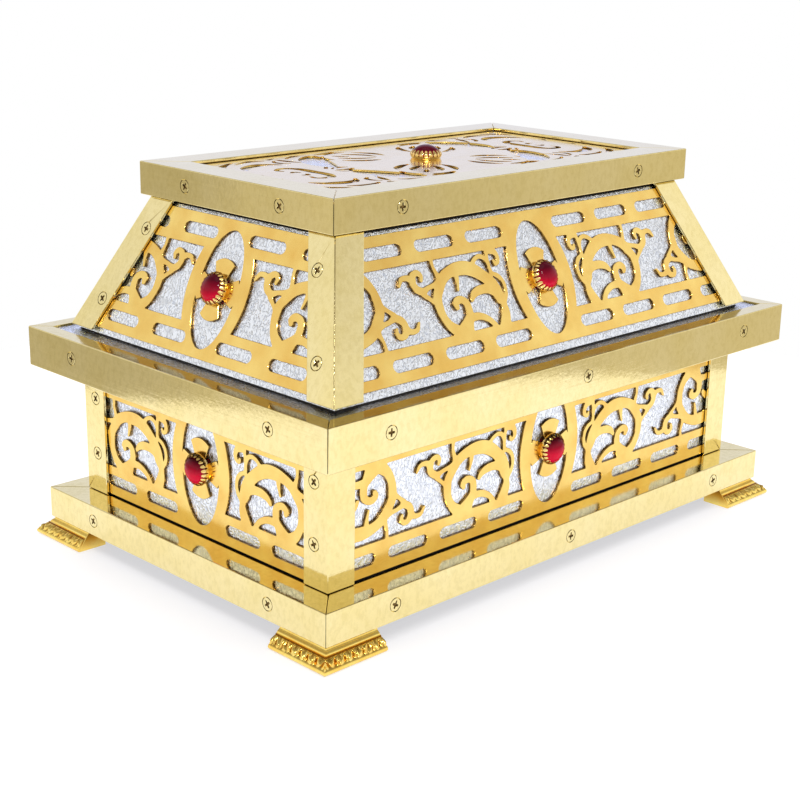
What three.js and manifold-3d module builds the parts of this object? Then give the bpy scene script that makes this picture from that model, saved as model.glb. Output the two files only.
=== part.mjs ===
// A house-shaped reliquary chest: four cast corner feet, a box and a tapered roof-shaped lid,
// all framed in brass angle strip, with pierced gilt sheets over silver and garnet-red cabochons.
// Millimetres, +Z up. The origin is on the ground, under the middle of the chest.
// +X is the long way and -Y is the front.

import * as THREE from "three";
import { mergeVertices } from "three/addons/utils/BufferGeometryUtils.js";
import Module from "manifold-3d";

const wasm = await Module();
wasm.setup();

// ---------------------------------------------------------------- driving dimensions

const GAP = 0.3; // clearance between pieces that touch

// Half sizes of the three frames and of the box between the first two.
const BASE_HALF = [202.5, 132];
const EAVE_HALF = [208, 139];
const TOP_HALF = [157.5, 87];
const CASE_HALF = [185, 114];

// Heights above the ground.
const FOOT_HEIGHT = 12;
const BASE_TOP = FOOT_HEIGHT + 20;
const EAVE_BOTTOM = FOOT_HEIGHT + 100.5;
const EAVE_TOP = FOOT_HEIGHT + 125.5;
const EAVE_PLATE_TOP = EAVE_TOP - 1.2;
const TOP_BOTTOM = FOOT_HEIGHT + 209.5;
const TOP_TOP = FOOT_HEIGHT + 229.5;

// Brass angle: one thickness, and the width of each frame's flat flange.
const ANGLE_THICKNESS = 2;
const BASE_FLANGE = 20;
const EAVE_FLANGE = 11;
const TOP_FLANGE = 22;
const POST_LEG = 20;

// The lid tapers between these two rectangles, its corner strips ending just above the eave.
const ROOF_BOTTOM = FOOT_HEIGHT + 127.2;
const ROOF_TOP = TOP_BOTTOM - GAP;
const ROOF_BOTTOM_HALF = [188, 121.5];
const ROOF_TOP_HALF = [152.2, 82.4];

// The layers of every wall, as depths below the face of the brass strips.
const SHEET_THICKNESS = 1.2;
const SHEET_DEPTH = ANGLE_THICKNESS + GAP;
const SILVER_DEPTH = SHEET_DEPTH + SHEET_THICKNESS + GAP;
const SILVER_THICKNESS = 0.8;
const BOARD_DEPTH = SILVER_DEPTH + SILVER_THICKNESS + GAP;
const WALL_THICKNESS = 9;

// The pierced sheets: their edges and the rows of their pattern, measured up and down from the
// middle of the pattern. A case sheet is cut off lower than a roof sheet, under the eave.
const SHEET_BOTTOM = -41.2;
const CASE_SHEET_TOP = 38;
const ROOF_SHEET_TOP = 41.5;
const CASE_PATTERN_HEIGHT = FOOT_HEIGHT + 62.2;
const ROOF_PATTERN_UP_SLOPE = { long: 45.7, roofEnd: 44.3 };
const SHEET_END_INSET = 6;
const SCROLL_ZONE_HALF = 22.2;
const SLOT_ROW_HEIGHT = 31.6;
const SLOT_WIDTH = 7;
const SLOT_LENGTH = 31;
const OVAL_HALF = [17.5, 35.4];
const RIM_HALF_WIDTH = [22.7, 27];
const CROSS_REACH = 18.7;
const CROSS_END_WIDTH = 17;
const CROSS_NECK_WIDTH = 6;

// Cabochons in crown settings: radius of the crown and height of the stone.
const CROWN_RADIUS = 10;
const ROUND_SIDES = 10;

// Feet: how far they reach along each side and beyond the base frame.
const FOOT_ARM = 39.5;
const FOOT_OVERHANG = 7;

// ---------------------------------------------------------------- materials

const looks = {
  brass: { color: 0xe0cf85, roughness: 0.18, metalness: 1 },
  gilt: { color: 0xe8b64a, roughness: 0.3, metalness: 1 },
  castGilt: { color: 0xe0a040, roughness: 0.32, metalness: 1 },
  silver: { color: 0xd0d4dc, roughness: 0.3, metalness: 1 },
  board: { color: 0x17130f, roughness: 0.8, metalness: 0 },
  garnet: { color: 0x8e0722, roughness: 0.06, metalness: 0 },
};

const chest = new THREE.Group();

function addPiece(name, geometry, look, parent = chest) {
  const mesh = new THREE.Mesh(geometry, new THREE.MeshStandardMaterial(looks[look]));
  mesh.name = name;
  parent.add(mesh);
  return mesh;
}

// ---------------------------------------------------------------- solids and booleans

function toSolid(geometry) {
  const bare = geometry.index ? geometry.toNonIndexed() : geometry.clone();
  bare.deleteAttribute("normal");
  bare.deleteAttribute("uv");
  const merged = mergeVertices(bare, 1e-4);
  return new wasm.Manifold(
    new wasm.Mesh({
      numProp: 3,
      vertProperties: new Float32Array(merged.attributes.position.array),
      triVerts: new Uint32Array(merged.index.array),
    }),
  );
}

function toGeometry(solid) {
  const mesh = solid.getMesh();
  const geometry = new THREE.BufferGeometry();
  geometry.setAttribute("position", new THREE.BufferAttribute(mesh.vertProperties, 3));
  geometry.setIndex(new THREE.BufferAttribute(mesh.triVerts, 1));
  geometry.computeVertexNormals();
  return geometry;
}

function toShape(points) {
  return new THREE.Shape(points.map(([x, y]) => new THREE.Vector2(x, y)));
}

// A flat outline, with holes if given, pulled up from one height to another.
function slab(outline, fromZ, toZ, holes = []) {
  const shape = toShape(outline);
  for (const hole of holes) {
    shape.holes.push(toShape(hole));
  }
  const geometry = new THREE.ExtrudeGeometry(shape, { depth: toZ - fromZ, bevelEnabled: false });
  geometry.translate(0, 0, fromZ);
  return geometry;
}

function rectangle(halfX, halfY) {
  return [
    [-halfX, -halfY],
    [halfX, -halfY],
    [halfX, halfY],
    [-halfX, halfY],
  ];
}

// The rectangle of the lid's wall at a height, sunk below its face by a depth.
function roofHalf(axis, z, depth) {
  const rise = ROOF_TOP - ROOF_BOTTOM;
  const run = ROOF_BOTTOM_HALF[axis] - ROOF_TOP_HALF[axis];
  const sunk = depth * Math.hypot(1, run / rise);
  return ROOF_BOTTOM_HALF[axis] - (run * (z - ROOF_BOTTOM)) / rise - sunk;
}

// A solid block with the lid's sloping sides, sunk below them by a depth.
function roofBlock(fromZ, toZ, depth) {
  const geometry = slab(rectangle(1, 1), fromZ, toZ);
  const position = geometry.attributes.position;
  for (let i = 0; i < position.count; i += 1) {
    const z = position.getZ(i);
    position.setX(i, Math.sign(position.getX(i)) * roofHalf(0, z, depth));
    position.setY(i, Math.sign(position.getY(i)) * roofHalf(1, z, depth));
  }
  return toSolid(geometry);
}

// ---------------------------------------------------------------- brass frames

// One mitred length of angle strip lying along X in front of the middle of a frame. Its section
// is given as [inset from the frame's outer face, height] and each end is cut at 45 degrees.
function mitredRail(section, halfLength, distance) {
  const geometry = new THREE.ExtrudeGeometry(toShape(section), { depth: 1, bevelEnabled: false });
  const position = geometry.attributes.position;
  for (let i = 0; i < position.count; i += 1) {
    const inset = position.getX(i);
    const height = position.getY(i);
    const end = position.getZ(i) < 0.5 ? -1 : 1;
    position.setXYZ(i, end * (halfLength - inset - GAP / 2 - 0.05), inset - distance, height);
  }
  return geometry;
}

// The angle's section: a band hanging down the outside and a flange lying on top.
function angleSection(bottom, top, flange) {
  return [
    [0, bottom],
    [ANGLE_THICKNESS, bottom],
    [ANGLE_THICKNESS, top - ANGLE_THICKNESS],
    [flange, top - ANGLE_THICKNESS],
    [flange, top],
    [0, top],
  ];
}

const SIDES = ["front", "right", "back", "left"];

// Calls build(side, half length, distance, group) for the four sides, in a group turned to face out.
function onEverySide([halfX, halfY], build) {
  SIDES.forEach((side, turn) => {
    const long = turn % 2 === 0;
    const group = new THREE.Group();
    group.rotation.z = (turn * Math.PI) / 2;
    chest.add(group);
    build(side, long ? halfX : halfY, long ? halfY : halfX, group);
  });
}

function addFrame(name, half, bottom, top, flange) {
  onEverySide(half, (side, halfLength, distance, group) => {
    const rail = mitredRail(angleSection(bottom, top, flange), halfLength, distance);
    addPiece(`${name}_rail_${side}`, rail, "brass", group);
  });
}

addFrame("base", BASE_HALF, FOOT_HEIGHT, BASE_TOP, BASE_FLANGE);
addFrame("eave", EAVE_HALF, EAVE_BOTTOM, EAVE_TOP, EAVE_FLANGE);
addFrame("top", TOP_HALF, TOP_BOTTOM, TOP_TOP, TOP_FLANGE);

// ---------------------------------------------------------------- corner strips

const CORNERS = [
  ["front_left", -1, -1],
  ["front_right", 1, -1],
  ["back_right", 1, 1],
  ["back_left", -1, 1],
];

// The L-shaped section of a corner strip: its outer corner, leg widths and leg thicknesses.
function cornerSection([cornerX, cornerY], [legX, legY], [thickX, thickY]) {
  return [
    [cornerX, cornerY],
    [cornerX - legX, cornerY],
    [cornerX - legX, cornerY - thickY],
    [cornerX - thickX, cornerY - thickY],
    [cornerX - thickX, cornerY - legY],
    [cornerX, cornerY - legY],
  ];
}

function mirrored(points, signX, signY) {
  const flipped = points.map(([x, y]) => [x * signX, y * signY]);
  return signX * signY < 0 ? flipped.reverse() : flipped;
}

function addCasePosts() {
  const section = cornerSection(
    CASE_HALF,
    [POST_LEG, POST_LEG],
    [ANGLE_THICKNESS, ANGLE_THICKNESS],
  );
  for (const [corner, signX, signY] of CORNERS) {
    const post = slab(mirrored(section, signX, signY), BASE_TOP + GAP, EAVE_BOTTOM - GAP);
    addPiece(`case_post_${corner}`, post, "brass");
  }
}

// The lid's corner strips lean inwards both ways: an upright L pulled over with its corner edge.
function addRoofPosts() {
  const rise = ROOF_TOP - ROOF_BOTTOM;
  const runX = ROOF_BOTTOM_HALF[0] - ROOF_TOP_HALF[0];
  const runY = ROOF_BOTTOM_HALF[1] - ROOF_TOP_HALF[1];
  const legX = POST_LEG * Math.hypot(1, runX / Math.hypot(rise, runY));
  const legY = POST_LEG * Math.hypot(1, runY / Math.hypot(rise, runX));
  const thickX = ANGLE_THICKNESS * Math.hypot(1, runX / rise);
  const thickY = ANGLE_THICKNESS * Math.hypot(1, runY / rise);
  const section = cornerSection(ROOF_BOTTOM_HALF, [legX, legY], [thickX, thickY]);
  for (const [corner, signX, signY] of CORNERS) {
    const post = slab(mirrored(section, signX, signY), ROOF_BOTTOM, ROOF_TOP);
    const position = post.attributes.position;
    for (let i = 0; i < position.count; i += 1) {
      const part = (position.getZ(i) - ROOF_BOTTOM) / rise;
      position.setX(i, position.getX(i) - signX * runX * part);
      position.setY(i, position.getY(i) - signY * runY * part);
    }
    addPiece(`roof_post_${corner}`, post, "brass");
  }
}

addCasePosts();
addRoofPosts();

// ---------------------------------------------------------------- feet

// A foot's section, outwards from the base frame's face: a cove under the frame, a narrow step,
// a bulging band and a rounded lip on the ground.
const FOOT_SECTION = [
  [-14, 0],
  [FOOT_OVERHANG - 1.2, 0],
  [FOOT_OVERHANG, 1.4],
  [FOOT_OVERHANG - 0.2, 3.2],
  [FOOT_OVERHANG - 2.4, 6],
  [1.6, 7.6],
  [1, 8.8],
  [-1, 9.8],
  [-2.2, FOOT_HEIGHT - GAP],
  [-14, FOOT_HEIGHT - GAP],
];

// The section runs along one side, turns the corner at a mitre and ends along the other side.
function addFeet() {
  for (const [corner, signX, signY] of CORNERS) {
    const section = toShape(FOOT_SECTION);
    const foot = new THREE.ExtrudeGeometry(section, { depth: 2, steps: 2, bevelEnabled: false });
    const position = foot.attributes.position;
    for (let i = 0; i < position.count; i += 1) {
      const out = position.getX(i);
      const height = position.getY(i);
      const station = Math.round(position.getZ(i));
      const x = station === 0 ? BASE_HALF[0] - FOOT_ARM : BASE_HALF[0] + out;
      const y = station === 2 ? BASE_HALF[1] - FOOT_ARM : BASE_HALF[1] + out;
      position.setXYZ(i, signX * x, signY * y, height);
    }
    addPiece(`foot_${corner}`, signX * signY < 0 ? turnedOut(foot) : foot, "castGilt");
  }
}

// The same surface with every triangle's order reversed.
function turnedOut(geometry) {
  const position = geometry.attributes.position;
  for (let i = 0; i < position.count; i += 3) {
    const second = new THREE.Vector3().fromBufferAttribute(position, i + 1);
    const third = new THREE.Vector3().fromBufferAttribute(position, i + 2);
    position.setXYZ(i + 1, third.x, third.y, third.z);
    position.setXYZ(i + 2, second.x, second.y, second.z);
  }
  geometry.computeVertexNormals();
  return geometry;
}

addFeet();

// ---------------------------------------------------------------- wooden carcasses

function caseHalf(axis, depth) {
  return CASE_HALF[axis] - depth;
}

// The case: a floor board inside the base frame with four walls standing on it, open on top.
function addCaseBoards() {
  const floorTop = BASE_TOP - ANGLE_THICKNESS - GAP;
  const board = rectangle(
    BASE_HALF[0] - ANGLE_THICKNESS - GAP,
    BASE_HALF[1] - ANGLE_THICKNESS - GAP,
  );
  const outer = rectangle(caseHalf(0, BOARD_DEPTH), caseHalf(1, BOARD_DEPTH));
  const innerDepth = BOARD_DEPTH + WALL_THICKNESS;
  const inner = rectangle(caseHalf(0, innerDepth), caseHalf(1, innerDepth));
  const floor = toSolid(slab(board, FOOT_HEIGHT + GAP, floorTop));
  const walls = toSolid(slab(outer, floorTop - 1, EAVE_BOTTOM - GAP));
  const room = toSolid(slab(inner, floorTop, EAVE_BOTTOM + 1));
  addPiece("case_boards", toGeometry(floor.add(walls).subtract(room)), "board");
}

// The lid: an eave board that rests on the case, open over the case's room, then sloping walls
// and a top board.
function addRoofBoards() {
  const eaveBoardTop = EAVE_TOP - ANGLE_THICKNESS - GAP;
  const topBoardTop = TOP_TOP - ANGLE_THICKNESS - GAP - SHEET_THICKNESS - SILVER_THICKNESS - 2 * GAP;
  const eave = toSolid(
    slab(
      rectangle(EAVE_HALF[0] - ANGLE_THICKNESS - GAP, EAVE_HALF[1] - ANGLE_THICKNESS - GAP),
      EAVE_BOTTOM,
      eaveBoardTop,
    ),
  );
  const top = toSolid(
    slab(
      rectangle(TOP_HALF[0] - ANGLE_THICKNESS - GAP, TOP_HALF[1] - ANGLE_THICKNESS - GAP),
      TOP_BOTTOM,
      topBoardTop,
    ),
  );
  const walls = roofBlock(eaveBoardTop - 1, TOP_BOTTOM + 1, BOARD_DEPTH);
  const innerDepth = BOARD_DEPTH + WALL_THICKNESS;
  const hole = rectangle(caseHalf(0, innerDepth), caseHalf(1, innerDepth));
  const lowerRoom = toSolid(slab(hole, EAVE_BOTTOM - 1, eaveBoardTop + 1));
  const upperRoom = roofBlock(eaveBoardTop, TOP_BOTTOM, innerDepth);
  const lid = eave.add(walls).add(top).subtract(lowerRoom).subtract(upperRoom);
  addPiece("roof_boards", toGeometry(lid), "board");
}

addCaseBoards();
addRoofBoards();

// ---------------------------------------------------------------- silver linings

// A thin silver jacket round the case's walls, between the boards and the pierced sheets.
function addCaseSilver() {
  const outer = rectangle(caseHalf(0, SILVER_DEPTH), caseHalf(1, SILVER_DEPTH));
  const innerDepth = SILVER_DEPTH + SILVER_THICKNESS;
  const inner = rectangle(caseHalf(0, innerDepth), caseHalf(1, innerDepth));
  const jacket = slab(outer, BASE_TOP + 1, EAVE_BOTTOM - GAP, [inner]);
  addPiece("case_silver", jacket, "silver");
}

function addRoofSilver() {
  const from = EAVE_PLATE_TOP + 1.1;
  const to = ROOF_TOP - 3;
  const outer = roofBlock(from, to, SILVER_DEPTH);
  const inner = roofBlock(from - 1, to + 1, SILVER_DEPTH + SILVER_THICKNESS);
  addPiece("roof_silver", toGeometry(outer.subtract(inner)), "silver");
}

// The silver sheet lying on the eave board between the brass flange and the foot of the roof.
function addEaveSilver() {
  const bottom = EAVE_PLATE_TOP - SILVER_THICKNESS;
  const outer = rectangle(EAVE_HALF[0] - EAVE_FLANGE - GAP, EAVE_HALF[1] - EAVE_FLANGE - GAP);
  const inner = rectangle(
    roofHalf(0, bottom, BOARD_DEPTH) + GAP,
    roofHalf(1, bottom, BOARD_DEPTH) + GAP,
  );
  addPiece("eave_silver", slab(outer, bottom, EAVE_PLATE_TOP, [inner]), "silver");
}

function addTopSilver() {
  const top = TOP_TOP - ANGLE_THICKNESS - SHEET_THICKNESS - 2 * GAP;
  const outline = rectangle(TOP_HALF[0] - ANGLE_THICKNESS - GAP, TOP_HALF[1] - ANGLE_THICKNESS - GAP);
  addPiece("top_silver", slab(outline, top - SILVER_THICKNESS, top), "silver");
}

addCaseSilver();
addRoofSilver();
addEaveSilver();
addTopSilver();

// ---------------------------------------------------------------- pierced gilt sheets

// A strip of metal along a line of [x, y, width] points, as a flat outline.
function ribbon(line) {
  const left = [];
  const right = [];
  line.forEach(([x, y, width], i) => {
    const before = line[Math.max(i - 1, 0)];
    const after = line[Math.min(i + 1, line.length - 1)];
    const length = Math.hypot(after[0] - before[0], after[1] - before[1]);
    const normalX = (before[1] - after[1]) / length;
    const normalY = (after[0] - before[0]) / length;
    left.push([x + (normalX * width) / 2, y + (normalY * width) / 2]);
    right.unshift([x - (normalX * width) / 2, y - (normalY * width) / 2]);
  });
  return left.concat(right).reverse();
}

// One leafy scroll of the pattern, left of the oval, as strips of metal: the round band, the
// hook and the leaf inside it, and the branch that leaves it on the far side and curls back at
// its end.
const SCROLL = {
  band: [
    [-80, -21.5, 9],
    [-90, -8, 6],
    [-84.6, 7.6, 6.8],
    [-65, 15, 8.4],
    [-46, 5.4, 8.4],
    [-39.2, -9, 6.4],
    [-41, -21.5, 9],
  ],
  hook: [
    [-74, -21, 12],
    [-68, -10, 5.4],
    [-71.6, -3.2, 4.8],
    [-77.4, -6.4, 3.4],
  ],
  leaf: [
    [-43, -1, 8],
    [-63, -3, 3.4],
  ],
  branch: [
    [-84, 8, 6],
    [-98, 5, 5],
    [-104.6, 12, 4.8],
    [-97.6, 15.6, 3.4],
  ],
};

// The same strips moved: x is multiplied and then shifted, y is multiplied.
function movedScroll(scaleX, shiftX, scaleY) {
  const strips = Object.values(SCROLL);
  return strips.map((line) => line.map(([x, y, w]) => [x * scaleX + shiftX, y * scaleY, w]));
}

// Where the scrolls stand on a sheet of each kind, for its left half; the right half mirrors it.
// On a long sheet a second scroll, turned end for end, follows the first.
const SECOND_SCROLL_TURN = -224.6;
const ROOF_END_SCROLL_SHIFT = -144;
const scrollLayouts = {
  long: [movedScroll(1, 0, 1), movedScroll(-1, SECOND_SCROLL_TURN, -1)],
  caseEnd: [movedScroll(1, 0, 1)],
  roofEnd: [movedScroll(-1, ROOF_END_SCROLL_SHIFT, 1)],
};
const slotCentres = {
  long: [38.6, 80.1, 121.6, 163.1],
  caseEnd: [38.6, 80.1],
  roofEnd: [30, 76],
};

function ellipse(halfX, halfY, count) {
  const points = [];
  for (let i = 0; i < count; i += 1) {
    const angle = (i / count) * 2 * Math.PI;
    points.push([halfX * Math.cos(angle), halfY * Math.sin(angle)]);
  }
  return points;
}

// A slot with cut-off round ends between two x positions.
function slotOutline(from, to, centreY) {
  const half = SLOT_WIDTH / 2;
  const cut = half * 0.8;
  return [
    [from, centreY],
    [from + cut, centreY - half],
    [to - cut, centreY - half],
    [to, centreY],
    [to - cut, centreY + half],
    [from + cut, centreY + half],
  ];
}

// The slots of one row that leave at least a narrow margin before the sheet's sloping end.
function slotRow(centres, centreY, limit) {
  const outlines = [];
  for (const centre of centres) {
    const from = centre - SLOT_LENGTH / 2;
    const to = Math.min(centre + SLOT_LENGTH / 2, limit - 4);
    if (to - from > 12) {
      outlines.push(slotOutline(from, to, centreY));
      outlines.push(slotOutline(-to, -from, centreY));
    }
  }
  return outlines;
}

// The open window of the scroll zone on the left of the oval's rim.
function scrollWindow(outerBottom, outerTop) {
  const [rimEnd, rimMiddle] = RIM_HALF_WIDTH;
  const half = SCROLL_ZONE_HALF;
  return [
    [-outerBottom, -half],
    [-rimEnd, -half],
    [-rimMiddle, -half / 4],
    [-rimMiddle, half / 4],
    [-rimEnd, half],
    [-outerTop, half],
  ];
}

// A cross of four flared arms; the level arms run on into the oval's rim.
function crossOutlines() {
  const neck = CROSS_NECK_WIDTH / 2;
  const flare = CROSS_END_WIDTH / 2;
  const shoulder = CROSS_REACH - 3;
  const upright = [
    [-flare, -shoulder],
    [0, -CROSS_REACH],
    [flare, -shoulder],
    [neck, -neck],
    [neck, neck],
    [flare, shoulder],
    [0, CROSS_REACH],
    [-flare, shoulder],
    [-neck, neck],
    [-neck, -neck],
  ];
  const level = upright.map(([x, y]) => [-y, x]);
  return [upright, level];
}

// One pierced sheet lying in the XY plane with its face at z = 0, its pattern centred on the
// origin. halfAt gives the sheet's half length at a height.
function piercedSheet(kind, top, halfAt) {
  const outline = [
    [-halfAt(SHEET_BOTTOM), SHEET_BOTTOM],
    [halfAt(SHEET_BOTTOM), SHEET_BOTTOM],
    [halfAt(top), top],
    [-halfAt(top), top],
  ];
  const ends = [halfAt(-SCROLL_ZONE_HALF) - 3, halfAt(SCROLL_ZONE_HALF) - 3];
  const window = scrollWindow(ends[0], ends[1]);
  const holes = [
    ellipse(OVAL_HALF[0], OVAL_HALF[1], 12),
    window,
    mirrored(window, -1, 1),
    ...slotRow(slotCentres[kind], -SLOT_ROW_HEIGHT, halfAt(-SLOT_ROW_HEIGHT)),
    ...slotRow(slotCentres[kind], SLOT_ROW_HEIGHT, halfAt(SLOT_ROW_HEIGHT)),
  ];
  let sheet = toSolid(slab(outline, -SHEET_THICKNESS, 0, holes));
  let ornament = null;
  const strips = scrollLayouts[kind].flat().map(ribbonOutwards);
  for (const strip of [...strips, ...strips.map((line) => mirrored(line, -1, 1)), ...crossOutlines()]) {
    const solid = toSolid(slab(strip, -SHEET_THICKNESS, 0));
    ornament = ornament ? ornament.add(solid) : solid;
  }
  const inside = [
    [-halfAt(-26) + 1, -26],
    [halfAt(-26) - 1, -26],
    [halfAt(26) - 1, 26],
    [-halfAt(26) + 1, 26],
  ];
  ornament = ornament.intersect(toSolid(slab(inside, -SHEET_THICKNESS, 0)));
  sheet = sheet.add(ornament);
  return toGeometry(sheet);
}

// A ribbon with its points in anticlockwise order.
function ribbonOutwards(line) {
  const outline = ribbon(line);
  return THREE.ShapeUtils.area(outline.map(([x, y]) => ({ x, y }))) > 0 ? outline : outline.reverse();
}

// A sheet and the stone at its middle, both turned up to face out of a wall that leans in by
// lean, with the sheet's face sunk below the wall's face.
function addWall(name, side, group, sheet, middle, lean) {
  const wall = new THREE.Group();
  wall.position.set(0, middle[0], middle[1]);
  wall.rotation.x = Math.PI / 2 - lean;
  group.add(wall);
  const gilt = addPiece(`${name}_fretwork_${side}`, sheet, "gilt", wall);
  gilt.position.z = -SHEET_DEPTH;
  addStone(`${name}_${side}`, -SHEET_DEPTH + GAP, wall);
}

// A cabochon in its crown, standing up along Z from the given height.
function addStone(name, baseZ, parent) {
  const crownProfile = [
    [8.8, 0],
    [9.5, 0],
    [CROWN_RADIUS, 2.9],
    [9.2, 5],
  ];
  const stoneProfile = [
    [0, 0.4],
    [8.4, 0.4],
    [8.5, 4],
    [6.6, 6.8],
    [0, 8.5],
  ];
  const crown = lathe(crownProfile, true);
  const stone = lathe(stoneProfile, false);
  addPiece(`crown_${name}`, crown, "gilt", parent).position.z = baseZ;
  addPiece(`cabochon_${name}`, stone, "garnet", parent).position.z = baseZ;
}

function lathe(profile, closed) {
  const points = profile.map(([radius, z]) => new THREE.Vector2(radius, z));
  if (closed) {
    points.push(points[0].clone());
  }
  const geometry = new THREE.LatheGeometry(points, ROUND_SIDES);
  geometry.rotateX(Math.PI / 2);
  return toGeometry(toSolid(geometry));
}

function addCaseWalls() {
  onEverySide(CASE_HALF, (side, halfLength, distance, group) => {
    const kind = halfLength > distance ? "long" : "caseEnd";
    const sheet = piercedSheet(kind, CASE_SHEET_TOP, () => halfLength - SHEET_END_INSET);
    addWall("case", side, group, sheet, [-distance, CASE_PATTERN_HEIGHT], 0);
  });
}

// On the lid each sheet stops short of the top frame, and its ends follow the corner strips.
function addRoofWalls() {
  const rise = ROOF_TOP - ROOF_BOTTOM;
  SIDES.forEach((side, turn) => {
    const along = turn % 2;
    const across = 1 - along;
    const run = ROOF_BOTTOM_HALF[across] - ROOF_TOP_HALF[across];
    const lean = Math.atan(run / rise);
    const kind = along === 0 ? "long" : "roofEnd";
    const heightAt = (y) => ROOF_BOTTOM + (ROOF_PATTERN_UP_SLOPE[kind] + y) * Math.cos(lean);
    const halfAt = (y) => roofHalf(along, heightAt(y), 0) - SHEET_END_INSET;
    const sheet = piercedSheet(kind, ROOF_SHEET_TOP, halfAt);
    const group = new THREE.Group();
    group.rotation.z = (turn * Math.PI) / 2;
    chest.add(group);
    addWall("roof", side, group, sheet, [-roofHalf(across, heightAt(0), 0), heightAt(0)], lean);
  });
}

addCaseWalls();
addRoofWalls();

// ---------------------------------------------------------------- the top sheet

// A crescent between two arcs about the origin that meet in points: [radius, angle] at each end
// and the two middle radii.
function crescent(innerRadius, outerRadius, fromAngle, toAngle) {
  const at = (radius, degrees) => {
    const angle = (degrees * Math.PI) / 180;
    return [radius * Math.cos(angle), radius * Math.sin(angle)];
  };
  const middleAngle = (fromAngle + toAngle) / 2;
  return [
    at(innerRadius, fromAngle),
    at(outerRadius, fromAngle + 2),
    at(outerRadius + 1, middleAngle),
    at(innerRadius + 8, toAngle),
    at(innerRadius, toAngle - 6),
    at(innerRadius, middleAngle),
  ];
}

// A half tulip: pointed towards the middle of the sheet, round at the far end.
function tulipSide(side) {
  const outline = [
    [20, 2.2 * side],
    [33, 14 * side],
    [52, 15 * side],
    [60, 6 * side],
    [52, 9 * side],
    [38, 8 * side],
  ];
  return side > 0 ? outline.reverse() : outline;
}

function turned(points, degrees) {
  const cos = Math.cos((degrees * Math.PI) / 180);
  const sin = Math.sin((degrees * Math.PI) / 180);
  return points.map(([x, y]) => [x * cos - y * sin, x * sin + y * cos]);
}

function topOpenings() {
  const openings = [];
  const quarter = [
    crescent(64, 84, 7, 44),
    turned(tulipSide(1), 46),
    turned(tulipSide(-1), 46),
    [
      [93, 30],
      [108, 21],
      [121, 26],
      [122, 31],
      [108, 29],
      [98, 36],
    ],
    [
      [88, 50],
      [100, 43],
      [114, 46],
      [104, 52],
    ],
  ];
  for (const [, signX, signY] of CORNERS) {
    for (const outline of quarter) {
      openings.push(mirrored(outline, signX, signY));
    }
  }
  const bracket = [
    [88, -18],
    [93, -18],
    [95, 0],
    [93, 18],
    [88, 18],
    [90, 0],
  ];
  openings.push(bracket, mirrored(bracket, -1, 1));
  return openings;
}

function addTopSheet() {
  const outline = rectangle(TOP_HALF[0] - ANGLE_THICKNESS - GAP, TOP_HALF[1] - ANGLE_THICKNESS - GAP);
  const face = TOP_TOP - ANGLE_THICKNESS - GAP;
  addPiece("top_fretwork", slab(outline, face - SHEET_THICKNESS, face, topOpenings()), "gilt");
  addStone("top", face + GAP, chest);
}

addTopSheet();

export default chest;
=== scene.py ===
"""Looks for a house-shaped reliquary chest: brass angle frames, pierced gilt sheets over
crinkled silver, garnet cabochons in toothed crowns and cast gilt feet. Metres in Blender;
the shapes below are worked out in millimetres. +X is the long way and -Y is the front."""

import math

import bmesh
import bpy
import numpy as np
from mathutils import Matrix, Vector
from mathutils.geometry import delaunay_2d_cdt


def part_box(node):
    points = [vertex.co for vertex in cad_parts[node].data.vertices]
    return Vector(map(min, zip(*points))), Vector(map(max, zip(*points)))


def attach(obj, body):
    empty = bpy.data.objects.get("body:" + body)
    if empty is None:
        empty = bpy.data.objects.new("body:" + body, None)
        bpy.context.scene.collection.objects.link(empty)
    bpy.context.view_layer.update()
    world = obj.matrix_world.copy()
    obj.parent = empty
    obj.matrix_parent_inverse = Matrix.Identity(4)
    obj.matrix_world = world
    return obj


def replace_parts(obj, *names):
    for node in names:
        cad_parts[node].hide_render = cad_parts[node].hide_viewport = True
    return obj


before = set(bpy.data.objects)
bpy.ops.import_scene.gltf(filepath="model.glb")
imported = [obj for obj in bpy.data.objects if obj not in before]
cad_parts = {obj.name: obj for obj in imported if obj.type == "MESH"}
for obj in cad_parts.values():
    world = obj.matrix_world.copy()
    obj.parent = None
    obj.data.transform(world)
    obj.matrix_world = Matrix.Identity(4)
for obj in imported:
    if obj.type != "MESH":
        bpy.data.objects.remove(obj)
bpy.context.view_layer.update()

MM = 0.001
SIDES = ["front", "right", "back", "left"]
CORNERS = ["front_left", "front_right", "back_right", "back_left"]

# ---------------------------------------------------------------- dimensions, in millimetres

EDGE_ROUNDING = 0.5  # of the angle strip's edges

SHEET_BOTTOM = -41.2  # the wall sheets' lower edge, from the middle of their pattern
SHEET_THICKNESS = 1.2
SHEET_CHAMFER = 0.18
SCROLL_ZONE_HALF = 22.2
SHEET_END_STRIP = 3.0  # metal left whole at each end of a wall sheet
SLOT_ROW_HEIGHT = 31.6
SLOT_WIDTH = 7.0
SLOT_LENGTH = 31.0
SLOT_END_MARGIN = 4.0
SHORTEST_SLOT = 5.0  # between the centres of its round ends
OVAL_HALF = (17.5, 35.4)
RIM_REACH = 27.0  # how far the oval's rim reaches out at its middle
RIM_RADIUS = 59.45  # radius of the rim's outer edge
CROSS_NECK_HALF = 3.0
CROSS_FLARE = 0.43  # widening of a cross arm for each millimetre outwards
CROSS_REACH = 18.7
CROSS_END_RADIUS = 12.9
JUNCTION_FILLET = 1.0
TOP_FILLET = 0.5
FIELD_CELL = 0.3  # step of the grid on which the openings are worked out
OUTLINE_TOLERANCE = 0.025

STONE_RADIUS = 8.5
STONE_FOOT = 0.4  # height of its flat underside
STONE_GIRDLE = 3.0  # height at which its dome starts
STONE_APEX = 8.5
STONE_ROWS = 12

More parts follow.
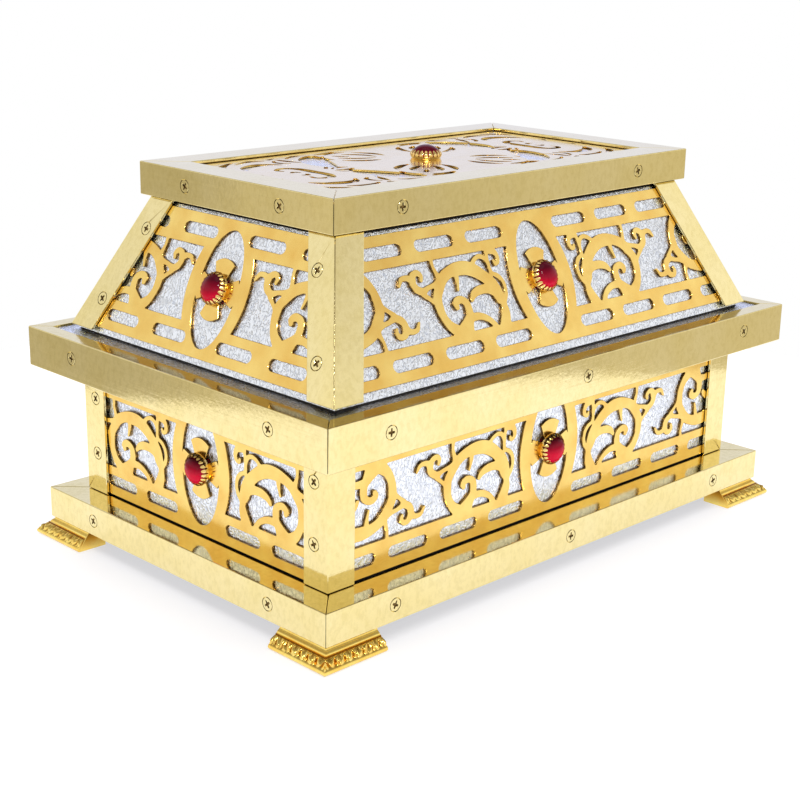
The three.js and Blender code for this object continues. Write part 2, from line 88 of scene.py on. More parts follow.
# The crown's outer side from foot to tips, as (radius, height).
CROWN_PROFILE = [
    (9.0, 0.0), (9.7, 1.0), (10.0, 2.2), (9.8, 3.2), (9.2, 4.2), (8.55, 4.9), (8.1, 5.5),
]
CROWN_THICKNESS = 0.4
CROWN_TEETH = 20
CUP_SHARE = 0.25  # part of the crown's height that is a whole cup, below the teeth
CUP_ROWS = 2
TOOTH_ROWS = 8
TOOTH_COLUMNS = 6
TOOTH_HALF = 0.36  # half of a tooth's widest breadth, in pitches
TIP_HALF = 0.02
TOOTH_CROWNING = 0.25

SCREW_RADIUS = 3.85
SCREW_THICKNESS = 1.1
SCREW_PROUD = 0.12
SCREW_TURN = 0.61803 * math.pi  # each screw is turned this much further than the last
COUNTERSINK_RADIUS = 4.3
COUNTERSINK_DEPTH = 1.25
SCREW_CELL = 0.1
CROSS_SLOT_REACH = 2.3
CROSS_SLOT_HALF = 0.48
CROSS_SLOT_TAPER = 0.28
SLOT_FLOOR_RADIUS = 3.0
SLOT_FLOOR_HEIGHTS = (-1.4, -0.9)
# Screws of each frame: their height, and their places along a long and a short side.
RAIL_SCREWS = {
    "top": (231.5, (-106, 106), (-42.5, 42.5)),
    "eave": (126.0, (-163, 0, 163), (-92, 92)),
    "base": (22.0, (-151, 0, 151), (-84, 84)),
}
# Screws of each post, on its short side only: their heights, and how far in from the corner.
POST_SCREWS = {"case": ((58, 94), 11.5), "roof": ((158, 202), 14.0)}

FOOT_ARM = 39.5
FOOT_OVERHANG = 7.0
FOOT_STEPS = 131  # along each arm
FOOT_SECTION_STEP = 0.5
# A foot's section, outwards from the base frame's face: a rounded lip on the ground, a leaf
# band, a narrow groove and step, and a cove up to a fillet under the frame.
FOOT_SECTION = [
    (-14, 0), (5.0, 0), (6.3, 0.4), (6.9, 1.2), (7.0, 2.1), (6.6, 2.9), (5.9, 3.4),
    (5.4, 4.2), (4.7, 5.3), (3.7, 6.3), (2.5, 7.1), (1.6, 7.4), (1.4, 8.0), (0.6, 8.2),
    (0.3, 8.9), (-0.5, 9.6), (-1.3, 10.2), (-1.7, 10.9), (-1.8, 11.2), (-2.8, 11.3),
    (-2.8, 11.7), (-14, 11.7),
]
FOOT_GROOVES = [(7.3, 8.1), (11.1, 12.0)]  # heights painted dark, as painted shade in a groove and in the gap under the frame
LEAF_BAND = (3.2, 7.5)
LEAF_PITCH = 6.6
FRILL_PITCH = 3.3
LEAF_RELIEF = 0.9

FLOOR_RADIUS = 545.0
FLOOR_THICKNESS = 4.0

CAMERA_PLACE = (-710.0, -694.9, 380.9)
CAMERA_YAW = 0.78248  # radians, from +Y towards +X
CAMERA_PITCH = -0.29508
CAMERA_ROLL = 0.01801
CAMERA_LENS = 70.61

# ---------------------------------------------------------------- small helpers


def new_object(name, mesh, slot, *materials):
    """A piece of the chest, riding on its only body."""
    piece = bpy.data.objects.new(name, mesh)
    bpy.context.scene.collection.objects.link(piece)
    for material in materials:
        piece.data.materials.append(material)
    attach(piece, "root")
    return piece


def mesh_from(name, vertices, faces, sharp_angle):
    """A smooth-shaded mesh from millimetre points, its edges over sharp_angle degrees sharp."""
    mesh = bpy.data.meshes.new(name)
    mesh.from_pydata([tuple(point) for point in vertices], [], faces)
    mesh.transform(Matrix.Scale(MM, 4))
    mesh.validate()
    finish_shading(mesh, sharp_angle)
    return mesh


def mesh_of(bm, name):
    """Turns a finished bmesh into a mesh."""
    mesh = bpy.data.meshes.new(name)
    bm.to_mesh(mesh)
    bm.free()
    return mesh


def finish_shading(mesh, sharp_angle):
    mesh.shade_smooth()
    mesh.set_sharp_from_angle(angle=math.radians(sharp_angle))


def upright_rotation(normal):
    """A rotation whose x is level, y points up the slope and z is the normal."""
    level = Vector((0, 0, 1)).cross(normal).normalized()
    return Matrix((level, normal.cross(level), normal)).transposed()


def wear_material(node, material):
    """Gives a CAD node that stays its finished look."""
    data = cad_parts[node].data
    data.materials.clear()
    data.materials.append(material)


# ---------------------------------------------------------------- materials


class Nodes:
    """A short way to write the node tree of a material or a world."""

    def __init__(self, owner, coordinates):
        owner.use_nodes = True
        self.owner = owner
        self.tree = owner.node_tree
        places = self.add("ShaderNodeTexCoord").outputs
        self.place = places[coordinates]
        self.facing = places["Normal"]

    def add(self, kind, inputs=None, **settings):
        """A new node. Each input is given as a value or as a socket to link."""
        node = self.tree.nodes.new(kind)
        for key, value in settings.items():
            setattr(node, key, value)
        self.fill(node, inputs or {})
        return node

    def fill(self, node, inputs):
        for key, value in inputs.items():
            if isinstance(value, bpy.types.NodeSocket):
                self.tree.links.new(value, node.inputs[key])
            else:
                node.inputs[key].default_value = value

    def scaled(self, x, y, z):
        """The coordinates scaled along each axis."""
        inputs = {"Vector": self.place, "Scale": (x, y, z)}
        return self.add("ShaderNodeMapping", inputs).outputs["Vector"]

    def noise(self, scale, detail, roughness=0.5, distortion=0.0, vector=None):
        return self.add("ShaderNodeTexNoise", {
            "Vector": vector or self.place,
            "Scale": scale,
            "Detail": detail,
            "Roughness": roughness,
            "Distortion": distortion,
        }).outputs["Fac"]

    def ramp(self, source, stops):
        """Colours or grey values along source, as (position, colour) pairs."""
        ramp = self.add("ShaderNodeValToRGB", {"Fac": source})
        elements = ramp.color_ramp.elements
        while len(elements) < len(stops):
            elements.new(0.5)
        for element, (position, colour) in zip(elements, stops):
            element.position = position
            if isinstance(colour, (int, float)):
                colour = (colour, colour, colour)
            element.color = (*colour, 1)
        return ramp.outputs["Color"]

    def bump(self, height, strength, distance, base=None):
        inputs = {"Height": height, "Strength": strength, "Distance": distance}
        if base:
            inputs["Normal"] = base
        return self.add("ShaderNodeBump", inputs).outputs["Normal"]

    def mix(self, kind, first, second, amount):
        inputs = {"A": first, "B": second, "Factor": amount}
        mix = self.add("ShaderNodeMix", inputs, data_type="RGBA", blend_type=kind)
        return mix.outputs["Result"]

    def mapped(self, source, from_range, to_range, kind="LINEAR"):
        """A value moved from one range to another, held at its ends."""
        return self.add("ShaderNodeMapRange", {
            "Value": source,
            "From Min": from_range[0],
            "From Max": from_range[1],
            "To Min": to_range[0],
            "To Max": to_range[1],
        }, interpolation_type=kind).outputs["Result"]

    def along(self, direction):
        """The part of the coordinates along a direction."""
        inputs = {0: self.place, 1: direction}
        return self.add("ShaderNodeVectorMath", inputs, operation="DOT_PRODUCT").outputs["Value"]

    def height_of(self, vector):
        """The z of a unit vector, from 0 where it points down to 1 where it points up."""
        split = self.add("ShaderNodeSeparateXYZ", {"Vector": vector})
        return self.mapped(split.outputs["Z"], (-1, 1), (0, 1))

    def shaded(self, **values):
        """The finished material, with these values or sockets on its shader."""
        inputs = {key.replace("_", " "): value for key, value in values.items()}
        self.fill(self.tree.nodes["Principled BSDF"], inputs)
        return self.owner


def material_nodes(name):
    return Nodes(bpy.data.materials.new(name), "Object")


def polished_brass():
    """Angle strip: bright pale brass, faintly wavy, with fine blotches and hairline scratches."""
    n = material_nodes("polished_brass")
    patches = n.ramp(n.noise(30, 2), [(0.35, (0.89, 0.75, 0.35)), (0.65, (0.92, 0.79, 0.41))])
    blotches = n.ramp(
        n.noise(330, 4, 0.6, 0.3, n.scaled(1, 1, 0.7)),
        [(0.36, (0.80, 0.77, 0.64)), (0.56, (1, 1, 1))],
    )
    hairs = n.noise(60, 2, 0.6, 0, n.scaled(0.06, 0.06, 30))
    waves = n.bump(n.noise(22, 1, 0.4), 0.35, 0.0006)
    return n.shaded(
        Metallic=1.0,
        Base_Color=n.mix("MULTIPLY", patches, blotches, 0.35),
        Roughness=n.ramp(hairs, [(0.4, 0.07), (0.75, 0.16)]),
        Normal=n.bump(n.noise(420, 2), 0.12, 0.0002, waves),
    )


def mottled_metal(name, colour_noise, colours, rough_noise, roughness):
    """Bare metal whose colour and roughness each wander along a noise of (scale, detail)."""
    n = material_nodes(name)
    return n.shaded(
        Metallic=1.0,
        Base_Color=n.ramp(n.noise(*colour_noise), colours),
        Roughness=n.ramp(n.noise(*rough_noise), roughness),
    )


def satin_gilt(name, dark, light):
    """The pierced sheets: gold, satin, with faint clouds in its colour."""
    n = material_nodes(name)
    return n.shaded(
        Metallic=1.0,
        Base_Color=n.ramp(n.noise(45, 3, 0.55), [(0.3, dark), (0.7, light)]),
        Roughness=n.ramp(n.noise(130, 4, 0.6), [(0.3, 0.12), (0.75, 0.24)]),
        Normal=n.bump(n.noise(60, 2), 0.25, 0.0004),
    )


def cast_gilt():
    """Feet: yellow gold with a slightly grainy cast skin, and painted shade darkening the recesses
    and grooves.
    """
    n = material_nodes("cast_gilt")
    colour = n.ramp(n.noise(120, 3), [(0.3, (0.98, 0.64, 0.13)), (0.7, (1.0, 0.78, 0.22))])
    # painted shade: the deeper a point lies in a groove or leaf hollow, the darker its colour
    recess = n.add("ShaderNodeAttribute", attribute_name="recess").outputs["Fac"]
    recess_painted_shade = n.ramp(recess, [(0.1, (1, 1, 1)), (0.6, (0.62, 0.42, 0.17)), (1.0, (0.20, 0.10, 0.03))])
    return n.shaded(
        Metallic=1.0,
        Base_Color=n.mix("MULTIPLY", colour, recess_painted_shade, 1.0),
        Roughness=n.ramp(n.noise(260, 3, 0.6), [(0.3, 0.13), (0.7, 0.26)]),
        Normal=n.bump(n.noise(900, 3, 0.6), 0.25, 0.0002),
    )


def crinkled_silver():
    """The lining: silver sheet with a fine all-over crinkle of short worm-like ridges, their
    creases painted darker as painted shade.
    """
    n = material_nodes("crinkled_silver")
    creases = n.ramp(
        n.noise(430, 1.5, 0.45, 0.9, n.scaled(1, 1, 0.6)),
        [(0.37, 1.0), (0.46, 0.5), (0.5, 0.0), (0.54, 0.5), (0.63, 1.0)],
    )
    crumple = n.bump(n.noise(260, 2, 0.5, 0.8), 0.45, 0.0006)
    return n.shaded(
        Metallic=1.0,
        # painted shade: the crease lines are coloured darker and bluer, besides their bump
        Base_Color=n.ramp(creases, [(0.0, (0.55, 0.60, 0.71)), (0.65, (0.89, 0.93, 1.0))]),
        Roughness=n.ramp(n.noise(90, 2), [(0.3, 0.22), (0.7, 0.30)]),
        Normal=n.bump(creases, 0.4, 0.0003, crumple),
    )


def board_dark_as_shade():
    """The carcass: near-black wood, its grain along X; its darkness is painted shade for the gaps
    between the parts.
    """
    n = material_nodes("board_dark_as_shade")
    grain = n.noise(260, 5, 0.6, 0.4, n.scaled(0.08, 1, 1))
    return n.shaded(
        Base_Color=n.ramp(grain, [(0.3, (0.008, 0.006, 0.005)), (0.7, (0.028, 0.020, 0.015))]),
        Roughness=n.ramp(grain, [(0.3, 0.55), (0.7, 0.8)]),
        Normal=n.bump(grain, 0.3, 0.0003),
    )


def garnet():
    """Cabochons with a painted glow: painted dark wine red where they face up and bright red where
    they face down, as if light pooled low inside the stone.
    """
    n = material_nodes("garnet")
    # painted glow and painted shade: the red follows which way the dome faces, dark above and
    # bright below
    colour = n.ramp(n.height_of(n.facing), [
        (0.15, (1.0, 0.003, 0.060)),
        (0.42, (0.86, 0.002, 0.044)),
        (0.62, (0.34, 0.001, 0.022)),
        (0.85, (0.07, 0.001, 0.010)),
    ])
    return n.shaded(
        Base_Color=colour,
        Roughness=0.03,
        IOR=1.5,
        Transmission_Weight=0.2,
        Specular_IOR_Level=0.06,
    )


brass = polished_brass()
# painted shade: dark brown brass on the walls and floors of the screws' cross slots
screw_slot_painted_shade = mottled_metal(
    "screw_slot_painted_shade",
    (600, 2), [(0.3, (0.16, 0.10, 0.03)), (0.7, (0.34, 0.23, 0.09))],
    (900, 2), [(0.3, 0.45), (0.7, 0.65)],
)
gilt = satin_gilt("satin_gilt", (0.84, 0.53, 0.13), (0.95, 0.70, 0.22))
# painted shade: the sheets' cut walls are the same gilt, coloured dark brown to near black for the
# shade along the openings
cut_walls_painted_shade = mottled_metal(
    "gilt_cut_walls_painted_shade",
    (500, 3, 0.6), [(0.38, (0.11, 0.05, 0.01)), (0.72, (0.58, 0.33, 0.08))],
    (700, 2), [(0.3, 0.22), (0.7, 0.42)],
)
# painted sheen: a paler, less saturated copy of the gilt for the level top sheet, standing in for
# the pale sheen it shows
top_gilt_painted_sheen = satin_gilt("gilt_painted_sheen", (0.88, 0.72, 0.42), (0.93, 0.77, 0.48))
crown_gilt = mottled_metal(
    "bright_gilt",
    (300, 2), [(0.3, (0.93, 0.62, 0.20)), (0.7, (0.97, 0.74, 0.30))],
    (500, 2), [(0.3, 0.12), (0.7, 0.24)],
)
foot_gilt = cast_gilt()
silver = crinkled_silver()
board = board_dark_as_shade()
red_stone = garnet()

# ---------------------------------------------------------------- openings as a distance field
#
# The pierced sheets are worked out on a grid: each value is the distance to the nearest edge of
# metal, negative inside it. Strokes of metal join with small fillets.


def smooth_line(points, step=0.8):
    """Points about one step apart on a smooth line through [u, v, width] points."""
    knots = np.array(points, float)
    chords = np.hypot(*np.diff(knots[:, :2], axis=0).T)
    at = np.concatenate([[0], np.cumsum(chords)])
    slopes = np.gradient(knots, at, axis=0) if len(at) > 2 else np.diff(knots, axis=0) / at[-1]
    if len(at) == 2:
        slopes = np.repeat(slopes, 2, axis=0)
    line = []
    for i, length in enumerate(chords):
        t = np.linspace(0, 1, max(2, int(length / step) + 1), endpoint=False)[:, None]
        line.append(
            knots[i] * (2 * t**3 - 3 * t**2 + 1)
            + slopes[i] * length * (t**3 - 2 * t**2 + t)
            + knots[i + 1] * (3 * t**2 - 2 * t**3)
            + slopes[i + 1] * length * (t**3 - t**2)
        )
    line.append(knots[-1:])
    return np.concatenate(line)


def smaller(first, second, fillet):
    """The union of two fields, with a fillet where they meet."""
    share = np.clip(0.5 + 0.5 * (second - first) / fillet, 0, 1)
    return second * (1 - share) + first * share - fillet * share * (1 - share)


class Grid:
    """Values at u and v positions one cell apart between two corners."""

    def __init__(self, low, high, cell=FIELD_CELL):
        self.u = np.arange(low[0], high[0] + cell, cell)
        self.v = np.arange(low[1], high[1] + cell, cell)
        self.cell = cell
        self.U, self.V = np.meshgrid(self.u, self.v)

    def window(self, line, margin):
        """The slices that hold a line and a margin round it."""
        low = line.min(0)[:2] - margin
        high = line.max(0)[:2] + margin
        columns = slice(*np.searchsorted(self.u, [low[0], high[0]]))
        rows = slice(*np.searchsorted(self.v, [low[1], high[1]]))
        return rows, columns


def stroke_distance(grid, line, window):
    """Distance to a stroke whose width changes along it."""
    U, V = grid.U[window], grid.V[window]
    distance = np.full(U.shape, 99.0)
    for (x0, y0, w0), (x1, y1, w1) in zip(line[:-1], line[1:]):
        dx, dy = x1 - x0, y1 - y0
        along = np.clip(((U - x0) * dx + (V - y0) * dy) / (dx * dx + dy * dy + 1e-9), 0, 1)
        radius = (w0 + (w1 - w0) * along) / 2
        distance = np.minimum(distance, np.hypot(U - x0 - dx * along, V - y0 - dy * along) - radius)
    return distance


def strokes_field(grid, lines, fillet):
    """The union of many strokes."""
    field = np.full(grid.U.shape, 20.0)
    for points in lines:
        line = smooth_line(points)
        window = grid.window(line, line[:, 2].max() / 2 + 3)
        field[window] = smaller(stroke_distance(grid, line, window), field[window], fillet)
    return field


# ---------------------------------------------------------------- outlines of a field

# For each pattern of metal at a cell's corners (1, 2, 4, 8 from the low corner anticlockwise),
# the edges that the outline enters and leaves by, with the metal on its left.
CELL_PATHS = {
    1: ["BL"], 2: ["RB"], 3: ["RL"], 4: ["TR"], 5: ["BL", "TR"], 6: ["TB"], 7: ["TL"],
    8: ["LT"], 9: ["BT"], 10: ["RB", "LT"], 11: ["RT"], 12: ["LR"], 13: ["BR"], 14: ["LB"],
}


def outline_loops(grid, field):
    """Closed loops round the metal of a field, as arrays of points."""
    inside = field < 0
    rows, columns = field.shape
    codes = (
        inside[:-1, :-1] * 1 + inside[:-1, 1:] * 2 + inside[1:, 1:] * 4 + inside[1:, :-1] * 8
    )
    following = {}
    for j, i in zip(*np.nonzero((codes > 0) & (codes < 15))):
        edges = {"B": (0, j, i), "T": (0, j + 1, i), "L": (1, j, i), "R": (1, j, i + 1)}
        for path in CELL_PATHS[codes[j, i]]:
            following[edges[path[0]]] = edges[path[1]]
    loops = []
    while following:
        start, edge = following.popitem()
        loop = [start]
        while edge != start:
            loop.append(edge)
            edge = following.pop(edge)
        loops.append(np.array([crossing(grid, field, *edge) for edge in loop]))
    return loops


def crossing(grid, field, upright, j, i):
    """Where the field passes zero on one edge of a cell."""
    first = field[j, i]
    second = field[j + 1, i] if upright else field[j, i + 1]
    part = first / (first - second)
    if upright:
        return grid.u[i], grid.v[j] + part * grid.cell
    return grid.u[i] + part * grid.cell, grid.v[j]


def simplified(loop, tolerance):
    """The loop with points dropped that lie within tolerance of the line between the others."""
    far = int(np.argmax(np.hypot(*(loop - loop[0]).T)))
    closed = np.concatenate([loop, loop[:1]])
    keep = {0, far}
    spans = [(0, far), (far, len(loop))]
    while spans:
        first, last = spans.pop()
        if last - first < 2:
            continue
        start, end = closed[first], closed[last]
        chord = end - start
        length = max(math.hypot(*chord), 1e-9)
        offsets = closed[first + 1 : last] - start
        away = np.abs(offsets[:, 0] * chord[1] - offsets[:, 1] * chord[0]) / length
        worst = int(np.argmax(away))
        if away[worst] > tolerance:
            middle = first + 1 + worst
            keep.add(middle)
            spans += [(first, middle), (middle, last)]
    return loop[sorted(keep)]


# ---------------------------------------------------------------- sheets from outlines


def metal_triangles(points, edges):
    """Triangles that fill the metal side of directed outline edges."""
    corners = [Vector(point) for point in points]
    result = delaunay_2d_cdt(corners, edges, [], 1, 1e-7)
    if len(result[0]) != len(points):
        raise ValueError("the outlines touch each other")
    order = [origins[0] for origins in result[3]]
    triangles = [tuple(order[corner] for corner in face) for face in result[2]]
    directed = set(edges)
    neighbours = {}
    for number, (a, b, c) in enumerate(triangles):
        for pair in ((a, b), (b, c), (c, a)):
            neighbours[pair] = number
    metal = set()
    spread = [neighbours[edge] for edge in edges if edge in neighbours]
    while spread:
        number = spread.pop()
        if number in metal:
            continue
        metal.add(number)
        a, b, c = triangles[number]
        for start, end in ((a, b), (b, c), (c, a)):
            if (start, end) not in directed and (end, start) in neighbours:
                spread.append(neighbours[(end, start)])
    return [triangles[number] for number in sorted(metal)]


def sheet_mesh(name, grid, field, thickness=SHEET_THICKNESS):
    """A sheet with its face at z = 0, cut along a field's zero, the face's edges chamfered.

    The cut walls take the second material."""
    loops = [simplified(loop, OUTLINE_TOLERANCE) for loop in outline_loops(grid, field)]
    loops = [loop for loop in loops if len(loop) > 5]
    points, inset, edges = [], [], []
    for loop in loops:
        first = len(points)
        count = len(loop)
        before = loop - np.roll(loop, 1, axis=0)
        after = np.roll(loop, -1, axis=0) - loop
        along = before / np.hypot(*before.T)[:, None] + after / np.hypot(*after.T)[:, None]
        along /= np.maximum(np.hypot(*along.T)[:, None], 1e-6)
        inwards = np.stack([-along[:, 1], along[:, 0]], axis=1)
        points += [tuple(point) for point in loop]
        inset += [tuple(point) for point in loop + inwards * SHEET_CHAMFER]
        edges += [(first + i, first + (i + 1) % count) for i in range(count)]
    triangles = metal_triangles(points, edges)
    count = len(points)
    vertices = [(x, y, 0) for x, y in inset]
    vertices += [(x, y, -SHEET_CHAMFER) for x, y in points]
    vertices += [(x, y, -thickness) for x, y in points]
    faces = list(triangles)
    faces += [tuple(corner + 2 * count for corner in reversed(face)) for face in triangles]
    for start, end in edges:
        faces.append((start + count, end + count, end, start))
        faces.append((start + 2 * count, end + 2 * count, end + count, start + count))
    mesh = mesh_from(name, vertices, faces, 30)
    for face in mesh.polygons:
        if abs(face.normal.z) < 0.1:
            face.material_index = 1
    return mesh


# ---------------------------------------------------------------- the walls' pattern

# One leafy scroll, left of the oval, as strokes of [u, v, width]: u along the wall and v up it,
# from the middle of the pattern.
SCROLL = {
    "band": [
        (-80, -21.5, 8), (-86.5, -15.8, 6), (-89.4, -10, 5.6), (-90.1, -5, 6.2),
        (-89.6, 0.5, 6.6), (-85.8, 5.8, 6.4), (-81.5, 10.6, 7), (-75, 13.6, 7),
        (-67, 14.6, 8.4), (-60, 13.9, 8.6), (-54, 11.3, 8.3), (-48.5, 7.3, 7.8),
        (-43, 1.5, 8), (-40.8, -5, 8.5), (-38.8, -11, 5), (-39.2, -16, 6.8),
        (-41, -20.5, 8), (-42, -23, 9),
    ],
    "hook": [
        (-75, -22, 12), (-71.5, -17.5, 8), (-68.5, -13, 5.6), (-67.9, -9, 5.4),
        (-68.6, -5.6, 5), (-71.4, -3.4, 4.6), (-74.8, -3.3, 4.9), (-77, -5.2, 4.4),
        (-76.4, -7.2, 3.2),
    ],
    "tooth": [(-70.3, 9.5, 3.4), (-70.9, 6, 2.2), (-71.9, 2.5, 1.6)],
    "inner_leaf": [
        (-42, -2, 8), (-47, -0.6, 6), (-52, 0.1, 5.6), (-57, -0.4, 5.4),
        (-61, -2, 4.4), (-63.3, -4.6, 2.8),
    ],
    "arch": [
        (-67, -14.6, 5), (-62, -14.6, 4.6), (-57, -16.2, 4.2), (-53, -18.8, 3.8),
        (-50.5, -22, 4),
    ],
    "loop": [
        (-41, 8, 2.5), (-37.2, 6.2, 3), (-34.3, 2.6, 2.8), (-33.6, -1.8, 2.6),
        (-34.8, -6, 3), (-37, -9, 3),
    ],
    "right_stem": [(-40.8, 22.4, 3), (-41.6, 17, 2.4), (-41.9, 12.5, 2.4), (-41.6, 8, 3)],
    "right_leaf": [
        (-55, 15.5, 3), (-51.5, 18.3, 2.8), (-47.5, 19.3, 3), (-44.2, 18, 3),
        (-42, 14.5, 2.6),
    ],
    "right_curl": [
        (-38.5, 21.5, 4), (-34.5, 20.5, 4), (-32.8, 17.3, 3.2), (-33.6, 14.2, 3),
        (-36, 13.3, 2.6), (-36.8, 15.2, 1.8),
    ],
    "branch": [
        (-83, 10, 5), (-88.5, 8.2, 3.4), (-94, 7.2, 3.0), (-99.5, 5.8, 4.4),
        (-103.8, 8.3, 4.8), (-105, 12.5, 4.6), (-103, 15.8, 4.2), (-99.5, 16.6, 3.6),
        (-97.4, 14.4, 3), (-98, 12, 2.2),
    ],
    "spur": [(-90.5, -3.0, 4), (-94.8, 0.2, 2.6), (-99.2, 4.0, 3.4)],
    "leaf_tip": [(-104.5, 13, 4.6), (-109, 15, 3.4), (-112.8, 14.6, 3), (-115.6, 11, 1.6)],
    "left_stem": [(-86.2, 22.5, 2.6), (-86.2, 18, 2.2), (-85, 14, 3), (-84, 11, 4)],
}
SECOND_SCROLL_TURN = -224.6  # a long sheet's second scroll is the first turned end for end
ROOF_END_SCROLL_SHIFT = -144.0
SLOT_CENTRES = {
    "long": (38.6, 80.1, 121.6, 163.1),
    "case_end": (38.6, 80.1),
    "roof_end": (30.0, 76.0),
}


def moved_scroll(scale_u, shift_u, scale_v):
    """The scroll turned over or end for end, and shifted along the wall."""
    return [
        [(u * scale_u + shift_u, v * scale_v, width) for u, v, width in line]
        for line in SCROLL.values()
    ]


def scrolls_of(kind):
    """The strokes in a sheet's left half."""
    if kind == "long":
        return moved_scroll(1, 0, 1) + moved_scroll(-1, SECOND_SCROLL_TURN, -1)
    if kind == "roof_end":
        return moved_scroll(-1, ROOF_END_SCROLL_SHIFT, 1)
    return moved_scroll(1, 0, 1)


def slot_opening(grid, kind, row, half_at):
    """Distance to one row of slots (1 above, -1 below), cut short near the sheet's end."""
    field = np.full(grid.U.shape, 20.0)
    height = row * SLOT_ROW_HEIGHT
    radius = SLOT_WIDTH / 2
    limit = half_at(height) - SLOT_END_MARGIN
    for centre in SLOT_CENTRES[kind]:
        start = -min(centre + SLOT_LENGTH / 2, limit) + radius
        end = -(centre - SLOT_LENGTH / 2) - radius
        if end - start < SHORTEST_SLOT:
            continue
        beyond = grid.U - np.clip(grid.U, start, end)
        field = np.minimum(field, np.hypot(beyond, grid.V - height) - radius)
    return field


def oval_opening(grid):
    """Distance to the oval, true near its edge."""
    a, b = OVAL_HALF
    ratio = np.hypot(grid.U / a, grid.V / b)
    slope = np.maximum(np.hypot(grid.U / a**2, grid.V / b**2), 1e-6)
    return ratio * (ratio - 1) / slope


def cross_field(grid):
    """A cross of four flared arms with curved ends."""
    lean = math.hypot(1, CROSS_FLARE)
    arms = []
    for across, along in ((grid.U, grid.V), (grid.V, grid.U)):
        side = np.abs(across) - CROSS_NECK_HALF
        side -= CROSS_FLARE * (np.abs(along) - CROSS_NECK_HALF)
        end = np.hypot(across, np.abs(along) - CROSS_REACH + CROSS_END_RADIUS) - CROSS_END_RADIUS
        arms.append(np.maximum(side / lean, end))
    return np.minimum(arms[0], arms[1])


def wall_sheet(kind, top, half_at):
    """The pierced sheet of one wall: half_at gives its half length at a height."""
    reach = half_at(SHEET_BOTTOM) + 1
    grid = Grid((-reach, SHEET_BOTTOM - 1), (0, top + 1))
    half = np.vectorize(half_at)(grid.v)[:, None]
    outline = np.maximum(-grid.U - half, np.maximum(grid.V - top, SHEET_BOTTOM - grid.V))
    rim = RIM_RADIUS - np.hypot(-grid.U - RIM_REACH + RIM_RADIUS, grid.V)
    window = np.maximum(np.abs(grid.V) - SCROLL_ZONE_HALF, rim)
    window = np.maximum(window, -grid.U - half + SHEET_END_STRIP)
    openings = np.minimum(window, oval_opening(grid))
    for row in (-1, 1):
        openings = np.minimum(openings, slot_opening(grid, kind, row, half_at))
    scrolls = strokes_field(grid, scrolls_of(kind), JUNCTION_FILLET)
    metal = smaller(-openings, scrolls, JUNCTION_FILLET)
    metal = np.minimum(metal, cross_field(grid))
    return mirrored_field(grid, np.maximum(metal, outline))


def mirrored_field(grid, field):
    """The grid and field with a mirror image on the far side of u = 0."""
    centre = int(np.argmin(np.abs(grid.u)))
    whole = Grid((grid.u[0], grid.v[0]), (-grid.u[0], grid.v[-1]), grid.cell)
    values = np.empty((len(grid.v), 2 * centre + 1))
    values[:, : centre + 1] = field[:, : centre + 1]
    values[:, centre:] = field[:, centre::-1]
    whole.u = grid.u[0] + np.arange(values.shape[1]) * grid.cell
    whole.u -= (whole.u[0] + whole.u[-1]) / 2
    whole.v = grid.v
    return whole, values


# ---------------------------------------------------------------- where the walls stand


def face_place(node):
    """Where a flat sheet's outer face is (x level, y up the slope, z out of it), the height of
    its top edge and a function giving its half length at a height, in the pattern's terms."""
    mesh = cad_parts[node].data
    largest = max(mesh.polygons, key=lambda face: face.area)
    normal = largest.normal.copy()
    low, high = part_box(node)
    outward = Vector((low.x + high.x, low.y + high.y, 0))
    if normal.dot(outward) < 0:
        normal.negate()
    rotation = upright_rotation(normal)
    places = [rotation.transposed() @ vertex.co for vertex in mesh.vertices]
    face_height = max(place.z for place in places)
    lowest = min(place.y for place in places)
    middle = lowest - SHEET_BOTTOM * MM
    origin = rotation @ Vector((0, middle, face_height))
    matrix = Matrix.Translation(origin) @ rotation.to_4x4()
    highest = max(place.y for place in places)
    half_foot = max(place.x for place in places if place.y < lowest + 0.5 * MM) / MM
    half_top = max(place.x for place in places if place.y > highest - 0.5 * MM) / MM
    top = (highest - middle) / MM
    slope = (half_top - half_foot) / (top - SHEET_BOTTOM)
    return matrix, top, lambda v: half_foot + slope * (v - SHEET_BOTTOM)


# ---------------------------------------------------------------- stones in their crowns


def lathe_mesh(name, profile, segments):
    """A closed solid of revolution from [radius, z] points that start and end on the axis."""
    vertices, faces = [(0, 0, profile[0][1])], []
    rings = profile[1:-1]
    for radius, z in rings:
        for step in range(segments):
            angle = 2 * math.pi * step / segments
            vertices.append((radius * math.cos(angle), radius * math.sin(angle), z))
    vertices.append((0, 0, profile[-1][1]))
    last = len(vertices) - 1
    for step in range(segments):
        after = (step + 1) % segments
        faces.append((0, 1 + after, 1 + step))
        for ring in range(len(rings) - 1):
            low, high = 1 + ring * segments, 1 + (ring + 1) * segments
            faces.append((low + step, low + after, high + after, high + step))
        top = 1 + (len(rings) - 1) * segments
        faces.append((top + step, top + after, last))
    return mesh_from(name, vertices, faces, 35)


def stone_profile():
    dome = STONE_APEX - STONE_GIRDLE
    profile = [(0, STONE_FOOT), (STONE_RADIUS * 0.96, STONE_FOOT), (STONE_RADIUS, STONE_GIRDLE)]
    for step in range(1, STONE_ROWS):
        angle = step / STONE_ROWS * math.pi / 2
        profile.append((STONE_RADIUS * math.cos(angle), STONE_GIRDLE + dome * math.sin(angle)))
    profile.append((0, STONE_APEX))
    return profile


def crown_point(height, angle, lift=0.0):
    """A point on the crown's outer side; height runs from 0 at its foot to 1 at its tips."""
    place = height * (len(CROWN_PROFILE) - 1)
    lower = min(int(place), len(CROWN_PROFILE) - 2)
    part = place - lower
    r0, z0 = CROWN_PROFILE[lower]
    r1, z1 = CROWN_PROFILE[lower + 1]
    radius = r0 + (r1 - r0) * part + lift
    return (radius * math.cos(angle), radius * math.sin(angle), z0 + (z1 - z0) * part)


